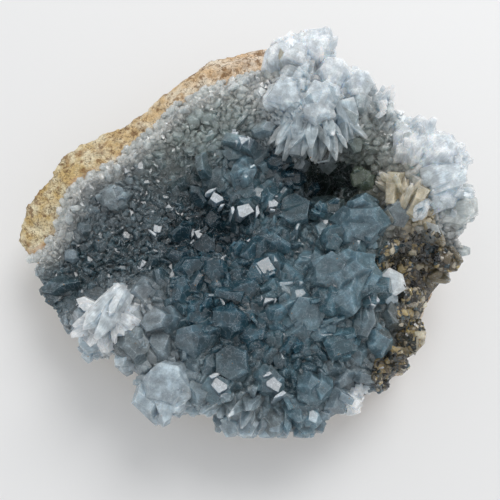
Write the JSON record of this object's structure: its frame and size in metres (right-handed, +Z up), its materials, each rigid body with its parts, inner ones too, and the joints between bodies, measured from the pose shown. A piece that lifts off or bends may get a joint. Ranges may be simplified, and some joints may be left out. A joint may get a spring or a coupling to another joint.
{
  "type": "celestite crystal cluster",
  "caption": "Palm-sized piece of a geode wall: a tan limestone shell carrying a thick crust of grey-blue celestite crystals, coarse in the middle and fine toward one rim.",
  "frame": {"origin": "middle of the flat patch under the stone on which the piece rests", "axes": "+Z up out of the crystal side, +X along the piece's length towards the white crystals' side"},
  "size_m": [0.1229, 0.1103, 0.0442],
  "materials": {
    "limestone": "matte, pitted and crumbly, tan with ochre and brown stains",
    "celestite": "glassy crystal faces, grey-blue and part clear, whiter where it is broken"
  },
  "bodies": {
    "root": {"limestone_matrix": "limestone", "celestite_crust": "celestite"}
  },
  "joints": []
}
